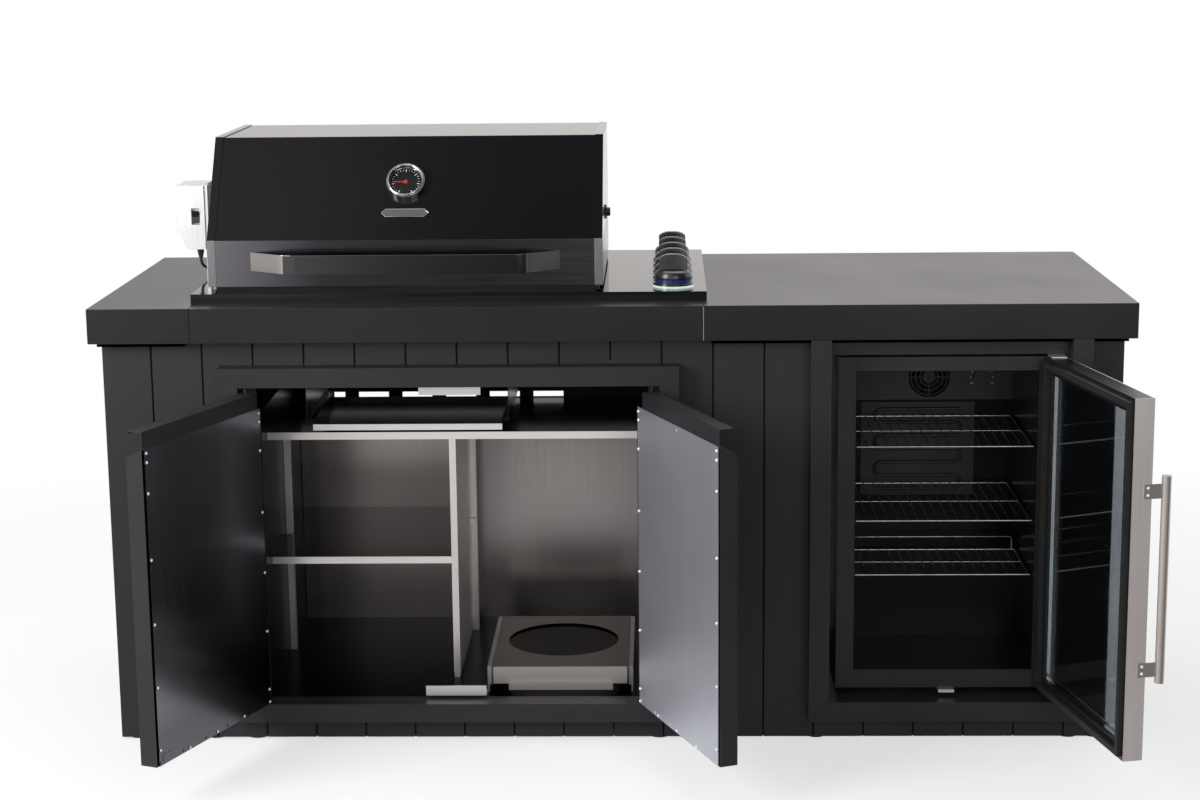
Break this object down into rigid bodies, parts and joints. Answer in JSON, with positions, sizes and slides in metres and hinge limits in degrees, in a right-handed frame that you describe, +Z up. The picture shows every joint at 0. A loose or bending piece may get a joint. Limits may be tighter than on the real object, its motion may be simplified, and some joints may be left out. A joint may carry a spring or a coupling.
{
  "type": "outdoor kitchen",
  "caption": "Charcoal outdoor kitchen on levelling feet, with a hooded gas barbecue, a two-door cabinet, a bottle tray and a glass-door bar fridge.",
  "frame": {"origin": "on the floor, at the middle of the cabinet body", "axes": "+X along the worktop to the right as the user faces it, +Y from the front to the back, +Z up"},
  "size_m": [2.12, 1.1677, 1.253],
  "materials": {
    "worktop_paint": "matt charcoal powder coat",
    "cladding_paint": "matt charcoal boards",
    "trim_steel": "brushed stainless",
    "inner_steel": "brushed stainless, warm",
    "zinc": "galvanised tube",
    "black_enamel": "glossy black enamel",
    "cast_black": "matt black",
    "knob_black": "satin black",
    "light_ring": "lit blue ring",
    "gauge_chrome": "polished",
    "needle_red": "red",
    "rubber_black": "matt",
    "plastic_black": "matt",
    "foam_case": "insulated casing",
    "wire_chrome": "plated wire",
    "door_glass": "clear double glazing",
    "brass_valve": "satin",
    "door_paint": "matt charcoal"
  },
  "bodies": {
    "body": {"back_panel": "zinc", "bbq_deck": "black_enamel", "burners": "trim_steel", "cabinet_fittings": "trim_steel", "cabinet_liner": "inner_steel", "carcass_frame": "cladding_paint", "cladding_front": "cladding_paint", "cladding_sides": "cladding_paint", "cooking_grates": "cast_black", "cord_coil": "rubber_black", "divider": "trim_steel", "door_surround": "cladding_paint", "drip_tray_rails": "zinc", "firebox": "black_enamel", "flame_tamers": "trim_steel", "fridge_cabinet": "foam_case", "fridge_cooling": "plastic_black", "fridge_hinge_brackets": "trim_steel", "fridge_liner": "plastic_black", "fridge_surround": "cladding_paint", "gas_manifold": "brass_valve", "gas_tray_runners": "zinc", "knob_bezels": "light_ring", "levelling_feet": "plastic_black", "mains_plug": "plastic_black", "middle_shelf": "inner_steel", "motor_cord": "rubber_black", "motor_housing": "trim_steel", "upper_shelf": "inner_steel", "worktop_left": "worktop_paint", "worktop_rails": "worktop_paint", "worktop_right": "worktop_paint"},
    "hood": {"hood_band": "trim_steel", "hood_ends": "black_enamel", "hood_handle": "trim_steel", "hood_panel": "black_enamel", "gauge_case": "gauge_chrome"},
    "needle": {"gauge_needle": "needle_red"},
    "left_door": {"left_door_skin": "door_paint", "left_door_sheet": "trim_steel"},
    "right_door": {"right_door_skin": "door_paint", "right_door_sheet": "trim_steel"},
    "fridge_door": {"fridge_door_frame": "trim_steel", "fridge_door_glass": "door_glass", "fridge_gasket": "rubber_black", "fridge_handle": "trim_steel"},
    "drip_drawer": {"drip_tray": "trim_steel"},
    "bottle_drawer": {"gas_tray": "inner_steel"},
    "middle_runners": {"gas_tray_middle_runners": "zinc"},
    "rocker": {"rocker_switch": "plastic_black"},
    "thermostat": {"thermostat_dial": "plastic_black"},
    "fan": {"fridge_fan": "plastic_black"},
    "wire_shelf_top": {"fridge_shelf_top": "wire_chrome"},
    "wire_shelf_middle": {"fridge_shelf_middle": "wire_chrome"},
    "wire_shelf_low": {"fridge_shelf_low": "wire_chrome"},
    "burner_knob_1": {"knob_1": "knob_black"},
    "burner_knob_2": {"knob_2": "knob_black"},
    "burner_knob_3": {"knob_3": "knob_black"},
    "burner_knob_4": {"knob_4": "knob_black"},
    "burner_knob_5": {"knob_5": "knob_black"}
  },
  "joints": [
    {"name": "hood_hinge", "type": "hinge", "parent": "body", "child": "hood", "pos_m": [-0.4219, 0.2655, 0.985], "axis": [-1, 0, 0], "range_deg": [0, 80]},
    {"name": "needle_turn", "type": "hinge", "parent": "hood", "child": "needle", "pos_m": [-0.423, -0.17483, 1.16494], "axis": [0, -0.8082, 0.5889], "range_deg": [0, 250], "stiffness_Nm_per_rad": 0.0002},
    {"name": "left_door_hinge", "type": "hinge", "parent": "body", "child": "left_door", "pos_m": [-0.745, -0.3395, 0.42], "axis": [0, 0, -1], "range_deg": [-112, 0]},
    {"name": "right_door_hinge", "type": "hinge", "parent": "body", "child": "right_door", "pos_m": [0.0845, -0.3395, 0.42], "axis": [0, 0, 1], "range_deg": [-112, 0]},
    {"name": "fridge_door_hinge", "type": "hinge", "parent": "body", "child": "fridge_door", "pos_m": [0.903, -0.3205, 0.46], "axis": [0, 0, 1], "range_deg": [-102, 0]},
    {"name": "drip_tray_slide", "type": "slide", "parent": "body", "child": "drip_drawer", "axis": [0, -1, 0], "range_m": [0, 0.3]},
    {"name": "bottle_tray_slide", "type": "slide", "parent": "body", "child": "bottle_drawer", "axis": [0, -1, 0], "range_m": [0, 0.3]},
    {"name": "middle_runner_slide", "type": "slide", "parent": "body", "child": "middle_runners", "axis": [0, -1, 0], "range_m": [0, 0.15]},
    {"name": "burner_knob_1_turn", "type": "hinge", "parent": "body", "child": "burner_knob_1", "pos_m": [0.129, -0.2025, 0.98], "axis": [0, 0, 1], "range_deg": [0, 130]},
    {"name": "burner_knob_2_turn", "type": "hinge", "parent": "body", "child": "burner_knob_2", "pos_m": [0.129, -0.1105, 0.98], "axis": [0, 0, 1], "range_deg": [0, 130]},
    {"name": "burner_knob_3_turn", "type": "hinge", "parent": "body", "child": "burner_knob_3", "pos_m": [0.129, -0.0185, 0.98], "axis": [0, 0, 1], "range_deg": [0, 130]},
    {"name": "burner_knob_4_turn", "type": "hinge", "parent": "body", "child": "burner_knob_4", "pos_m": [0.129, 0.0735, 0.98], "axis": [0, 0, 1], "range_deg": [0, 130]},
    {"name": "burner_knob_5_turn", "type": "hinge", "parent": "body", "child": "burner_knob_5", "pos_m": [0.129, 0.1655, 0.98], "axis": [0, 0, 1], "range_deg": [0, 130]},
    {"name": "rocker_tilt", "type": "hinge", "parent": "body", "child": "rocker", "pos_m": [-0.888, -0.0465, 1.0815], "axis": [-1, 0, 0], "range_deg": [0, 16]},
    {"name": "thermostat_turn", "type": "hinge", "parent": "body", "child": "thermostat", "pos_m": [0.805, 0.0495, 0.704], "axis": [0, -1, 0], "range_deg": [0, 280]},
    {"name": "fan_spin", "type": "hinge", "parent": "body", "child": "fan", "pos_m": [0.69, 0.0575, 0.705], "axis": [0, -1, 0], "continuous": true},
    {"name": "shelf_top_slide", "type": "slide", "parent": "body", "child": "wire_shelf_top", "axis": [0, -1, 0], "range_m": [0, 0.25]},
    {"name": "shelf_middle_slide", "type": "slide", "parent": "body", "child": "wire_shelf_middle", "axis": [0, -1, 0], "range_m": [0, 0.25]},
    {"name": "shelf_low_slide", "type": "slide", "parent": "body", "child": "wire_shelf_low", "axis": [0, -1, 0], "range_m": [0, 0.25]}
  ],
  "couplings": [
    {"joint": "middle_runner_slide", "follows": "bottle_tray_slide", "ratio": 0.5}
  ]
}
